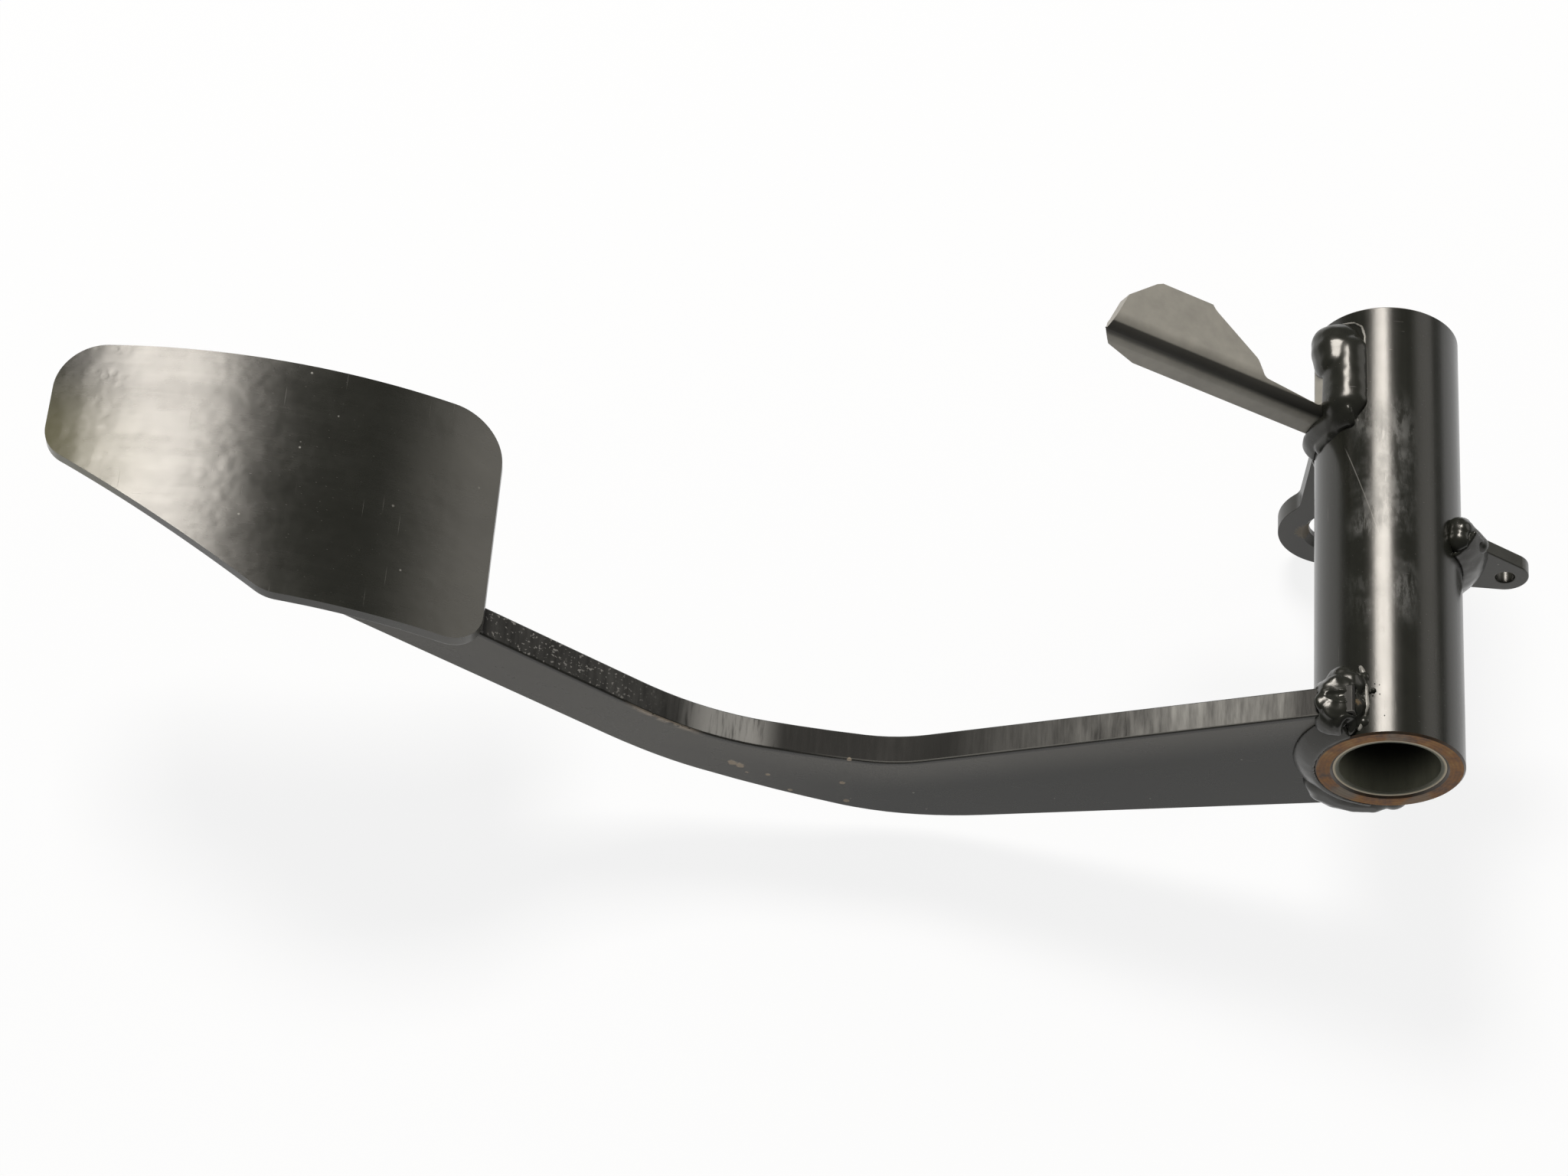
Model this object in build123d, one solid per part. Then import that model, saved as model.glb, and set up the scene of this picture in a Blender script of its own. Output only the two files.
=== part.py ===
from build123d import *
import os
from math import cos, radians, sin, sqrt, tan

# A welded steel brake pedal, in millimetres. The Y axis is the pivot axis, +Y towards the tube's far end.
# The origin lies on that axis at the tube's mid-length. X points right and Z up, away from the rod lever.
# Angles about the pivot are measured from straight up, positive towards +X.

# Pivot tube and its two pressed bushes
tube_length = 152.0
tube_od = 44.5
tube_edge = 0.6
bush_bore = 30.0
bush_wall = 2.0
bush_length = 30.0
bush_recess = 0.6
bush_edge = 0.5

# Pedal arm: one plate square to the pivot axis, cut as a dog-leg and set over sideways towards the pad
arm_thickness = 9.5
arm_inset = 5.0
arm_root_radius = 27.8
arm_root_gap = 6.0
arm_root_edge = 1.0
arm_reach = 332.0
arm_tip_radius = 6.0
# Each edge falls away from the pivot at these angles, up to these distances from the pivot axis
arm_top_falls = (22.5, -1.7, -27.3)
arm_top_knees = (144.6, 205.0)
arm_top_radii = (45.0, 90.0)
arm_low_falls = (14.0, -12.0, -26.5)
arm_low_knees = (138.5, 219.3)
arm_low_radii = (100.0, 120.0)
set_over_start = 140.0
set_over_angle = 8.0
set_over_radius = 550.0

# Foot pad: a plate rolled about an axis parallel to the pivot, with its lower left corner cut off
pad_thickness = 4.6
pad_radius = 190.0
pad_crown = 367.0
pad_inner = 270.3
pad_width = 133.7
pad_height = 79.8
pad_centre_y = -26.1
pad_end_height = 35.7
pad_slant_angle = 31.7
pad_corner_radii = (14.8, 15.5, 11.0, 12.0, 12.0)
pad_edge = 1.0

# Latch bracket: a folded angle, its blade parallel to the pivot and its flange square to it
bracket_thickness = 4.8
bracket_bend = 7.0
bracket_rise = 28.1
bracket_offset = 3.0
bracket_inset = 37.5
bracket_length = 105.3
blade_width = 23.6
flange_height = 12.0
# Clipped corners at the tip, as distance from the tip and distance from the fold
blade_clip = ((0.5, 1.5), (6.3, 14.4), (16.4, 22.5), (18.6, blade_width))
flange_clip = ((0.2, 3.0), (4.4, 7.8), (16.1, flange_height))
# The bay in the blade's rear edge: its corners as distance out from the pivot axis and up from the flange
bay_corners = ((69.3, blade_width), (51.0, 10.4), (48.4, 5.0), (26.3, 3.3))
bay_radii = (8.0, 4.0, 2.5, 2.0)

# Rod lever: a plate ear that hangs from the tube's back, with the eye for the push rod
lever_thickness = 6.0
lever_inset = 30.0
lever_reach = 54.0
lever_lean = 6.7
lever_eye_radius = 19.6
lever_bore = 19.5
lever_bore_edge = 2.0
lever_root_width = 43.0
lever_neck_width = 32.0
lever_shoulder = 6.0

# Spring tab: a small plate ear on the tube's right side
tab_thickness = 4.7
tab_face_y = -1.7
tab_hole = 6.0
tab_hole_x = 37.0
tab_hole_drop = 6.5
tab_end_radius = 7.2
tab_taper = 32.0
tab_root_clip = 20.5

# Weld beads round the tube: leg on the plate, leg along the tube, and the angles where each starts and ends
bead_fullness = 0.6
arm_leg, arm_angles = (6.0, 4.9), (-175.0, -40.0)
arm_far_leg, arm_far_angles = (5.0, 5.0), (-160.0, -50.0)
bracket_leg, bracket_angles = (3.4, 5.2), (-98.0, -36.0)
bracket_back_leg, bracket_back_angles = (3.5, 4.0), (-86.0, -66.0)
lever_leg, lever_angles = (4.5, 4.5), (-244.0, -110.0)
tab_leg, tab_angles = (7.6, 6.8), (52.0, 122.0)
tab_far_leg, tab_far_angles = (2.5, 2.5), (70.0, 122.0)

# Weld lumps: angle, height off the tube, place along it from the plate's middle, and radius
arm_front_lumps = (
    (-45.0, 1.4, 8.2, 5.0),
    (-53.0, 2.6, 5.0, 5.2),
    (-46.0, 3.4, 2.8, 6.6),
    (-47.0, 3.4, -2.8, 6.2),
    (-42.0, 0.6, 6.3, 5.8),
    (-42.5, 1.2, -0.9, 6.2),
    (-43.5, 0.6, -4.0, 4.9),
)
arm_back_lumps = (
    (168.0, 1.4, -4.6, 4.6),
    (168.0, 0.8, 1.0, 4.6),
    (180.0, 1.5, 1.5, 5.2),
    (-178.0, 3.1, -4.7, 4.8),
    (-166.0, 4.3, -4.7, 4.9),
    (-154.0, 4.8, -4.7, 4.9),
    (-142.0, 4.3, -4.7, 4.9),
)
tab_front_lumps = ((55.0, 1.6, -3.8, 4.2), (55.0, 2.0, -0.8, 4.2), (56.0, 1.2, 1.6, 3.5))

# The long bead on top of the bracket's blade: a round bar sunk in the corner, past both of the blade's edges
long_bead_radius = 8.0
long_bead_angle = -46.0
long_bead_depth = 2.75
long_bead_past = (3.7, 5.9)

# Stitches along the arm's two faces, under the pad
pad_leg = 3.6
pad_stitch = 15.0
pad_stitches = 2
pad_stitch_margin = 8.0

# How far cutting shapes reach past what they cut
cut_margin = 20.0

tube_radius = tube_od / 2
tube_bore = bush_bore + 2 * bush_wall
near_end = -tube_length / 2
far_end = tube_length / 2
arm_face = near_end + arm_inset
arm_back = arm_face + arm_thickness
bracket_face = far_end - bracket_inset
lever_back = far_end - lever_inset
lever_face = lever_back - lever_thickness
tab_back = tab_face_y + tab_thickness
pad_outer = pad_inner + pad_width
pad_near = pad_centre_y - pad_height / 2
pad_far = pad_centre_y + pad_height / 2


def slab(outline, y_near, y_far):
    """A plate square to the pivot axis, its outline drawn in X and Z."""
    plane = Plane(origin=(0, y_far, 0), x_dir=(1, 0, 0), z_dir=(0, -1, 0))
    return extrude(plane * outline, y_far - y_near)


def disc(x, z, radius, y_near, y_far):
    """A round bar along the pivot axis' direction."""
    return slab(Pos(x, z) * Circle(radius), y_near, y_far)


def countersink(x, y, z, inward, radius, depth):
    """A cone that opens the mouth of a bore along the pivot's direction; inward is the way into the plate."""
    mouth = Plane(origin=(x, y, z), z_dir=(0, inward, 0))
    return mouth * Cone(radius + depth, radius, depth, align=(Align.CENTER, Align.CENTER, Align.MIN))


def around(angle, radius, y=0.0):
    """The point at an angle about the pivot."""
    return Vector(radius * sin(radians(angle)), y, radius * cos(radians(angle)))


def keep_largest(shape):
    """The main solid of a cut bead, without the crumbs that the cut leaves."""
    return max(shape.solids(), key=lambda solid: solid.volume)


tube_core = disc(0, 0, tube_radius, near_end - cut_margin, far_end + cut_margin)


# Pivot tube and bushes
def make_tube():
    section = Rectangle(tube_radius - tube_bore / 2, tube_length, align=(Align.MIN, Align.CENTER))
    section = Pos(tube_bore / 2, 0) * section
    section = chamfer(section.vertices(), tube_edge)
    return revolve(section, Axis.Y)


def make_bush(y_outer, inward):
    """A plain bush whose outer face lies at y_outer; inward is the direction along Y into the tube."""
    middle = y_outer + inward * bush_length / 2
    section = Pos(bush_bore / 2, middle) * Rectangle(bush_wall, bush_length, align=(Align.MIN, Align.CENTER))
    inner = section.vertices().sort_by(Axis.X)[:2]
    section = chamfer(inner, bush_edge)
    return revolve(section, Axis.Y)


# Pedal arm
def edge_line(tangent_z, falls, knees, reach):
    """Corner points of one edge of the arm, from the pivot's middle plane out to the reach."""
    points = [(0.0, tangent_z)]
    for fall, distance in zip(falls, (*knees, reach)):
        x, z = points[-1]
        points.append((-distance, z - (distance + x) * tan(radians(fall))))
    return points


arm_top_start = arm_root_radius / cos(radians(arm_top_falls[0]))
arm_low_start = -arm_root_radius / cos(radians(arm_low_falls[0]))
arm_top = edge_line(arm_top_start, arm_top_falls, arm_top_knees, pad_inner)
arm_low = edge_line(arm_low_start, arm_low_falls, arm_low_knees, arm_reach)
pad_seat_z = arm_top[-1][1]
pad_under_radius = pad_radius - pad_thickness
pad_axis_z = pad_seat_z - sqrt(pad_under_radius**2 - (pad_crown - pad_inner) ** 2)


def arm_band():
    """The arm seen from above: a strip of even thickness that bends sideways along a large radius."""
    centre = Vector(-set_over_start, arm_face + set_over_radius)
    length = arm_reach

    def arc_point(radius, angle):
        return centre + Vector(-radius * sin(radians(angle)), -radius * cos(radians(angle)))

    along = Vector(-cos(radians(set_over_angle)), sin(radians(set_over_angle))) * length
    near, far = set_over_radius, set_over_radius - arm_thickness
    near_edge = [arc_point(near, angle) for angle in (0, set_over_angle / 2, set_over_angle)]
    far_edge = [arc_point(far, angle) for angle in (0, set_over_angle / 2, set_over_angle)]
    strip = [
        Line((0, arm_face), near_edge[0]),
        ThreePointArc(*near_edge),
        Line(near_edge[2], near_edge[2] + along),
        Line(near_edge[2] + along, far_edge[2] + along),
        Line(far_edge[2] + along, far_edge[2]),
        ThreePointArc(*reversed(far_edge)),
        Line(far_edge[0], (0, arm_back)),
        Line((0, arm_back), (0, arm_face)),
    ]
    middle = Pos(0, 0, -arm_reach / 2) * make_face(strip)
    return extrude(middle, arm_reach)


def arm_root_end():
    """Lower and upper corners of the arm's end at the tube, square to its middle line."""
    lean = radians((arm_top_falls[0] + arm_low_falls[0]) / 2)
    half_taper = radians((arm_top_falls[0] - arm_low_falls[0]) / 2)
    half_width = (arm_root_radius - arm_root_gap * sin(half_taper)) / cos(half_taper)
    middle = Vector(-cos(lean), -sin(lean)) * arm_root_gap
    across = Vector(sin(lean), -cos(lean)) * half_width
    low, top = middle + across, middle - across
    return (low.X, low.Y), (top.X, top.Y)


def under_pad():
    """Everything above the pad's underside, outward of the pad's inner edge."""
    block = Rectangle(pad_width * 2, pad_radius * 2, align=(Align.MAX, Align.MIN))
    block = Pos(-pad_inner, pad_axis_z) * block
    round_bar = Pos(-pad_crown, pad_axis_z) * Circle(pad_under_radius)
    return slab(block - round_bar, pad_near - cut_margin, pad_far + cut_margin)


def make_arm():
    low_corner, top_corner = arm_root_end()
    (x, z), fall = arm_top[-2], arm_top_falls[-1]
    beyond = (-arm_reach, z - (arm_reach + x) * tan(radians(fall)))
    corners = [top_corner, *arm_top[1:-1], beyond, *arm_low[:0:-1], low_corner]
    radii = [arm_root_edge, *arm_top_radii, 0.0, arm_tip_radius, *reversed(arm_low_radii), arm_root_edge]
    outline = make_face(FilletPolyline(*corners, radius=radii, close=True))
    arm = slab(outline, near_end, pad_far) & arm_band()
    arm = arm - tube_core - under_pad()
    return keep_largest(arm)


# Foot pad
def make_pad():
    left, right = -pad_outer, -pad_inner
    slant_y = pad_far - pad_end_height
    slant_x = left + (slant_y - pad_near) / tan(radians(pad_slant_angle))
    corners = [(left, pad_far), (right, pad_far), (right, pad_near), (slant_x, pad_near), (left, slant_y)]
    outline = make_face(FilletPolyline(*corners, radius=pad_corner_radii, close=True))
    ring = Pos(-pad_crown, pad_axis_z) * (Circle(pad_radius) - Circle(pad_under_radius))
    rolled = slab(ring, pad_near - cut_margin, pad_far + cut_margin)
    pad = rolled & extrude(outline, pad_radius)
    rim = pad.faces().sort_by(SortBy.AREA)[-1].edges()
    return fillet(rim, pad_edge)


# Latch bracket
def bracket_plane():
    """Local x runs in towards the tube along the bracket, y along the pivot and z out of the blade's face."""
    rise = radians(bracket_rise)
    return Plane(origin=(0, 0, 0), x_dir=(cos(rise), 0, -sin(rise)), z_dir=(sin(rise), 0, cos(rise)))


def bracket_section():
    """The folded section, drawn with Y across and the distance from the pivot axis upwards."""
    outer, inner = bracket_bend, bracket_bend - bracket_thickness
    top, back, foot = bracket_offset, bracket_offset - bracket_thickness, bracket_offset - flange_height
    rear, flange_back = bracket_face + blade_width, bracket_face + bracket_thickness
    centre = Vector(bracket_face + outer, top - outer)
    halfway = Vector(-sqrt(0.5), sqrt(0.5))
    return make_face([
        Line((bracket_face, foot), (bracket_face, centre.Y)),
        ThreePointArc((bracket_face, centre.Y), centre + halfway * outer, (centre.X, top)),
        Line((centre.X, top), (rear, top)),
        Line((rear, top), (rear, back)),
        Line((rear, back), (centre.X, back)),
        ThreePointArc((centre.X, back), centre + halfway * inner, (flange_back, centre.Y)),
        Line((flange_back, centre.Y), (flange_back, foot)),
        Line((flange_back, foot), (bracket_face, foot)),
    ])


def make_bracket():
    plane = bracket_plane()
    across = Plane(origin=(0, 0, 0), x_dir=(0, 1, 0), z_dir=plane.x_dir)
    angle = extrude(across * bracket_section(), -bracket_length)
    tip, beyond = -bracket_length, -bracket_length - cut_margin
    foot = bracket_offset - flange_height

    # The tip's clipped corners, the blade's cut from above and the flange's from the side
    clip = [(tip + along, bracket_face + up) for along, up in blade_clip]
    past = bracket_face + blade_width + cut_margin
    scrap = make_face(Polyline((beyond, clip[0][1]), *clip, (clip[-1][0], past), (beyond, past), close=True))
    angle -= plane * Pos(0, 0, foot) * extrude(scrap, flange_height + cut_margin)
    clip = [(tip + along, bracket_offset - down) for along, down in flange_clip]
    past = foot - cut_margin
    scrap = make_face(Polyline((beyond, clip[0][1]), *clip, (clip[-1][0], past), (beyond, past), close=True))
    side = Plane(origin=(0, far_end, 0), x_dir=plane.x_dir, z_dir=(0, -1, 0))
    angle -= extrude(side * scrap, tube_length)

    # The bay, between the full-width tip and a full-width strip along the tube
    past = bracket_face + blade_width + cut_margin
    corners = [(-out, bracket_face + up) for out, up in bay_corners]
    corners = [(corners[0][0], past), *corners, (corners[-1][0], past)]
    bay = make_face(FilletPolyline(*corners, radius=[0.0, *bay_radii, 0.0], close=True))
    underside = bracket_offset - bracket_thickness
    angle -= plane * Pos(0, 0, underside) * extrude(bay, bracket_thickness + cut_margin)
    return keep_largest(angle - tube_core)


# Rod lever
def lever_eye():
    lean = radians(lever_lean)
    return -lever_reach * sin(lean), -lever_reach * cos(lean)


def make_lever():
    neck_end = -lever_reach + lever_eye_radius / 2
    root, neck = lever_root_width / 2, lever_neck_width / 2
    body = make_face(Polyline((-root, 0), (root, 0), (neck, neck_end), (-neck, neck_end), close=True))
    body += Pos(0, -lever_reach) * Circle(lever_eye_radius)
    shoulders = body.vertices().filter_by(lambda v: -lever_reach < v.Y < -tube_radius)
    body = fillet(shoulders, lever_shoulder)
    eye_x, eye_z = lever_eye()
    lever = slab(Rot(0, 0, -lever_lean) * body, lever_face, lever_back) - tube_core
    lever = keep_largest(lever)
    lever -= disc(eye_x, eye_z, lever_bore / 2, lever_face - cut_margin, lever_back + cut_margin)
    for y, inward in ((lever_face, 1), (lever_back, -1)):
        lever -= countersink(eye_x, y, eye_z, inward, lever_bore / 2, lever_bore_edge)
    return lever


# Spring tab
def make_tab():
    taper = radians(tab_taper)
    foot = -tab_hole_drop - tab_end_radius
    tangent = Vector(tab_hole_x + tab_end_radius * sin(taper), -tab_hole_drop + tab_end_radius * cos(taper))
    top = Vector(tab_root_clip, tangent.Y + (tangent.X - tab_root_clip) * tan(taper))
    end = Vector(tab_hole_x, foot)
    nose = Vector(tab_hole_x + tab_end_radius, -tab_hole_drop)
    root = Polyline(top, (tab_root_clip, 0), (0, 0), (0, foot), end)
    outline = make_face([root, ThreePointArc(end, nose, tangent), Line(tangent, top)])
    tab = slab(outline, tab_face_y, tab_back) - tube_core
    tab = max(tab.solids(), key=lambda solid: solid.center().X)
    hole = disc(tab_hole_x, -tab_hole_drop, tab_hole / 2, tab_face_y - cut_margin, tab_back + cut_margin)
    return tab - hole


# Weld beads
def ring_bead(face_y, legs, toward, span):
    """A fillet round the tube against a plate's face, between two angles; toward is its side along Y."""
    out, along = legs
    start, end = span
    corner = Vector(tube_radius, face_y)
    on_plate = corner + Vector(out, 0)
    on_tube = corner + Vector(0, toward * along)
    bulge = corner + Vector(out, toward * along) * bead_fullness
    hollow = ThreePointArc(on_plate, bulge, on_tube)
    section = make_face([Line(corner, on_plate), hollow, Line(on_tube, corner)])
    radial = around(start, 1.0)
    plane = Plane(origin=(0, 0, 0), x_dir=radial, z_dir=radial.cross(Vector(0, 1, 0)))
    return revolve(plane * section, Axis.Y, end - start)


def puddles(lumps, middle):
    """Overlapping lumps of weld on the tube, about a plate whose middle lies at this Y."""
    balls = []
    for angle, height, shift, size in lumps:
        balls.append(Pos(*around(angle, tube_radius + height, middle + shift)) * Sphere(size))
    return balls[0].fuse(*balls[1:])


def capsule(start, end, radius):
    """A straight bead with rounded ends."""
    run = end - start
    bar = extrude(Plane(origin=start, z_dir=run) * Circle(radius), run.length)
    return bar.fuse(Pos(*start) * Sphere(radius), Pos(*end) * Sphere(radius))


def arm_beads(arm):
    near = ring_bead(arm_face, arm_leg, -1, arm_angles)
    far = ring_bead(arm_back, arm_far_leg, 1, arm_far_angles)
    middle = (arm_face + arm_back) / 2
    front = keep_largest(puddles(arm_front_lumps, middle) - tube_core - arm - near - far)
    back = keep_largest(puddles(arm_back_lumps, middle) - tube_core - arm - near - far)
    return {"arm_weld_near": near, "arm_weld_far": far, "arm_weld_front": front, "arm_weld_back": back}


def bracket_long_bead():
    """The bead in the corner of the blade's face and the tube, cut off level with the blade's underside."""
    plane = bracket_plane()
    centre = around(long_bead_angle, tube_radius - long_bead_depth)
    before, after = long_bead_past
    start = centre + Vector(0, bracket_face - before + long_bead_radius, 0)
    end = centre + Vector(0, bracket_face + blade_width + after - long_bead_radius, 0)
    underside = Plane(origin=plane.z_dir * (bracket_offset - bracket_thickness), z_dir=plane.z_dir)
    return split(capsule(start, end, long_bead_radius) - tube_core, underside, keep=Keep.TOP)


def bracket_beads(bracket):
    long_bead = keep_largest(bracket_long_bead() - bracket)
    root = ring_bead(bracket_face, bracket_leg, -1, bracket_angles)
    root = keep_largest(root - long_bead - bracket)
    back = ring_bead(bracket_face + bracket_thickness, bracket_back_leg, 1, bracket_back_angles)
    back = keep_largest(back - long_bead - bracket)
    return {"bracket_weld_long": long_bead, "bracket_weld_root": root, "bracket_weld_back": back}


def lever_beads():
    near = ring_bead(lever_face, lever_leg, -1, lever_angles)
    far = ring_bead(lever_back, lever_leg, 1, lever_angles)
    return {"lever_weld_near": near, "lever_weld_far": far}


def tab_beads(tab):
    near = ring_bead(tab_face_y, tab_leg, -1, tab_angles)
    far = ring_bead(tab_back, tab_far_leg, 1, tab_far_angles)
    front = puddles(tab_front_lumps, (tab_face_y + tab_back) / 2)
    front = keep_largest(front - tube_core - tab - near - far)
    return {"tab_weld_near": near, "tab_weld_far": far, "tab_weld_front": front}


def pad_beads(arm, pad):
    """Short stitches along both faces of the arm, under the pad."""
    angle = radians(set_over_angle)
    face_start = Vector(
        -set_over_start - set_over_radius * sin(angle),
        arm_face + set_over_radius * (1 - cos(angle)),
        0,
    )
    across = Vector(sin(angle), cos(angle), 0) * arm_thickness

    def seat(x, side):
        y = face_start.Y + (face_start.X - x) * tan(angle)
        z = pad_axis_z + sqrt(pad_under_radius**2 - (x + pad_crown) ** 2)
        return Vector(x, y, z) + across * side

    beads = {}
    first = -pad_inner - pad_stitch_margin
    pitch = (arm_reach - pad_inner - 2 * pad_stitch_margin - pad_stitch) / (pad_stitches - 1)
    for side, name in ((0, "pad_weld_near"), (1, "pad_weld_far")):
        solids = []
        for index in range(pad_stitches):
            start = first - index * pitch
            bead = capsule(seat(start, side), seat(start - pad_stitch, side), pad_leg)
            solids.append(keep_largest(bead - arm - pad - under_pad()))
        beads[name] = Compound(solids)
    return beads


def make_parts():
    arm, pad, bracket, lever, tab = make_arm(), make_pad(), make_bracket(), make_lever(), make_tab()
    return {
        "pivot_tube": make_tube(),
        "near_bush": make_bush(near_end + bush_recess, 1),
        "far_bush": make_bush(far_end - bush_recess, -1),
        "pedal_arm": arm,
        "foot_pad": pad,
        "latch_bracket": bracket,
        "rod_lever": lever,
        "spring_tab": tab,
        **arm_beads(arm),
        **bracket_beads(bracket),
        **lever_beads(),
        **tab_beads(tab),
        **pad_beads(arm, pad),
    }


os.makedirs("parts", exist_ok=True)
for name, shape in make_parts().items():
    export_step(shape, f"parts/{name}.step")
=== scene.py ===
import math
import random

import bmesh
import bpy
from bpy.props import FloatProperty, FloatVectorProperty, IntProperty, PointerProperty
from mathutils import Matrix, Vector, noise


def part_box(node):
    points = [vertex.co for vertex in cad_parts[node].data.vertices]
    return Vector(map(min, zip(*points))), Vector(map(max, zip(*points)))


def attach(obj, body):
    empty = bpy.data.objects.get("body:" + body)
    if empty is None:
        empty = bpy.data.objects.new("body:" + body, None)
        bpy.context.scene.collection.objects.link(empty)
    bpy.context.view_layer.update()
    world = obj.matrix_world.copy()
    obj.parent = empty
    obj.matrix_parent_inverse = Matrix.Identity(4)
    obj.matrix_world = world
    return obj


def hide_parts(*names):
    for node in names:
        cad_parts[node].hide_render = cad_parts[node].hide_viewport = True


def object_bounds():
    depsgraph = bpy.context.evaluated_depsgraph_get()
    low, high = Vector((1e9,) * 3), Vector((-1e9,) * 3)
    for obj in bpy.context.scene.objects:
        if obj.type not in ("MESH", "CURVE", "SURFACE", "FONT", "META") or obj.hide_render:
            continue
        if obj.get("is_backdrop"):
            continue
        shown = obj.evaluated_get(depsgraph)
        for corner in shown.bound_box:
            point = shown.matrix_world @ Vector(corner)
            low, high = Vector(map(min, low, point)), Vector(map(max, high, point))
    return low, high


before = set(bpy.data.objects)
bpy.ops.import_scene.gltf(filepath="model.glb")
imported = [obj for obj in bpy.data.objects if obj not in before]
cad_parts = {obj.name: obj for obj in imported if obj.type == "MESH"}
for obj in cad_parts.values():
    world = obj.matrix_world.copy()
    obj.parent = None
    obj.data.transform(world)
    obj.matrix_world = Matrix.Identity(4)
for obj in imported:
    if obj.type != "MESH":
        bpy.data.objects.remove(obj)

bl_info = {
    "name": "Brake Pedal Dresser",
    "version": (1, 0, 0),
    "blender": (4, 5, 0),
    "location": "3D View > Sidebar > Pedal",
    "description": "Dresses a welded steel brake pedal with paint, weld beads, wear and a studio stage",
    "category": "Object",
}

MM = 0.001
TUBE_LOW, TUBE_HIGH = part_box("pivot_tube")
TUBE_RADIUS = TUBE_HIGH.x
ARM_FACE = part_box("pedal_arm")[0].y
ARM_THICKNESS = 9.5 * MM

# Height of the arm's top edge along X, as a share of ARM_TOP_SPAN over the height -ARM_TOP_DROP
ARM_TOP = ((-0.332, 0.902), (-0.300, 0.813), (-0.270, 0.665), (-0.250, 0.562), (-0.230, 0.459),
           (-0.215, 0.387), (-0.200, 0.342), (-0.190, 0.327), (-0.180, 0.322), (-0.160, 0.317),
           (-0.150, 0.316), (-0.140, 0.334), (-0.125, 0.393), (0.0, 0.910))
ARM_TOP_SPAN = 0.1
ARM_TOP_DROP = 0.061

# Small distances and angles
MERGE = 0.002 * MM  # points nearer than this are one
FLAT_ANGLE = math.radians(0.5)  # faces nearer to one plane than this are joined
HARD_ANGLE = math.radians(25.0)  # a plate's edges sharper than this are rounded
BUMP_DEPTH = 0.2 * MM  # what a full step of a finish's height stands for
BEAD_COVER = 1.2 * MM  # how deep the weld metal reaches into the tube's wall
PRESS_SOFTNESS = 1.5 * MM  # the height over which a pressed crown flattens
DROP_GAP = 0.8 * MM
LIP_GAP = 0.45 * MM
LIP_GRAIN = 0.25 * MM
PROUD = 0.1 * MM  # how far the middle of a small drop stands over the tube
NEAR_END = TUBE_LOW.y + 0.1 * MM  # where the beads stop short of the tube's near end
FRONT_END = TUBE_LOW.y + 0.3 * MM

# Colours of wear, dirt and bare metal, and of painted light: highlights, reflections and shade
WARM = (1.0, 0.97, 0.93)  # tint of the paint's reflections
SPECK = (0.42, 0.41, 0.38)
# Painted highlight in pale patches on the bead lips
LIP_HIGHLIGHT = (0.34, 0.33, 0.30)
# Painted shade across the bend of a fold
FOLD_SHADE = (0.030, 0.030, 0.026)
# Painted light: the spring tab's black made lighter
TAB_LIT_PAINT = (0.040, 0.040, 0.033)
PLATE_CHIP = (0.20, 0.165, 0.115)
SMEAR = (0.40, 0.40, 0.39)
SCRATCH = (0.35, 0.34, 0.32)
RUST_CRUST = (0.27, 0.25, 0.20)
RUST_GREY = (0.20, 0.19, 0.16)
# Painted highlight on the cutter's streaks along the arm's top edge
CUT_EDGE_HIGHLIGHT = (1.0, 0.985, 0.93)
# Painted highlight on the arm's edge near the second bend
BEND_HIGHLIGHT = (0.34, 0.335, 0.32)
CUT_SPECKLE = (0.36, 0.35, 0.33)
# Painted reflection on the arm's face
FACE_REFLECTION = (0.135, 0.129, 0.114)
# Painted highlight on the arm's rounded rim
RIM_HIGHLIGHT = (0.30, 0.295, 0.275)
EDGE_SHADE = (0.008, 0.008, 0.007)
FACE_RUB = (0.16, 0.16, 0.15)
# Painted reflection on the pad's right end
PAD_REFLECTION = (0.120, 0.117, 0.103)
# Painted yellowish reflection on the pad's corner
PAD_TINTED_REFLECTION = (0.130, 0.122, 0.055)
WELD_RUST = (0.24, 0.155, 0.065)
# Painted shade on the bush rim's rounded inner edge
BUSH_INNER_SHADE = (0.11, 0.11, 0.075)
# Painted shade in the gap between bush and tube
BUSH_GAP_SHADE = (0.010, 0.009, 0.007)
BORE_SHADE = (0.012, 0.012, 0.009)

# Bare chips: a place and a radius, in metres
ARM_CHIPS = (
    ((-0.1937, -0.0675, -0.0414), 0.0016), ((-0.1914, -0.0679, -0.0422), 0.0015),
    ((-0.1892, -0.0681, -0.0459), 0.0008), ((-0.1828, -0.0690, -0.0454), 0.0008),
    ((-0.1587, -0.0706, -0.0298), 0.0007), ((-0.1600, -0.0707, -0.0444), 0.0009),
    ((-0.1582, -0.0707, -0.0554), 0.0009), ((-0.1756, -0.0699, -0.0530), 0.0007))
LEVER_CHIPS = (((-0.0162, 0.0400, -0.0545), 0.0040),)
ARM_WELD_CHIPS = (((-0.0135, -0.0668, 0.0212), 0.0016),)

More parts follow.
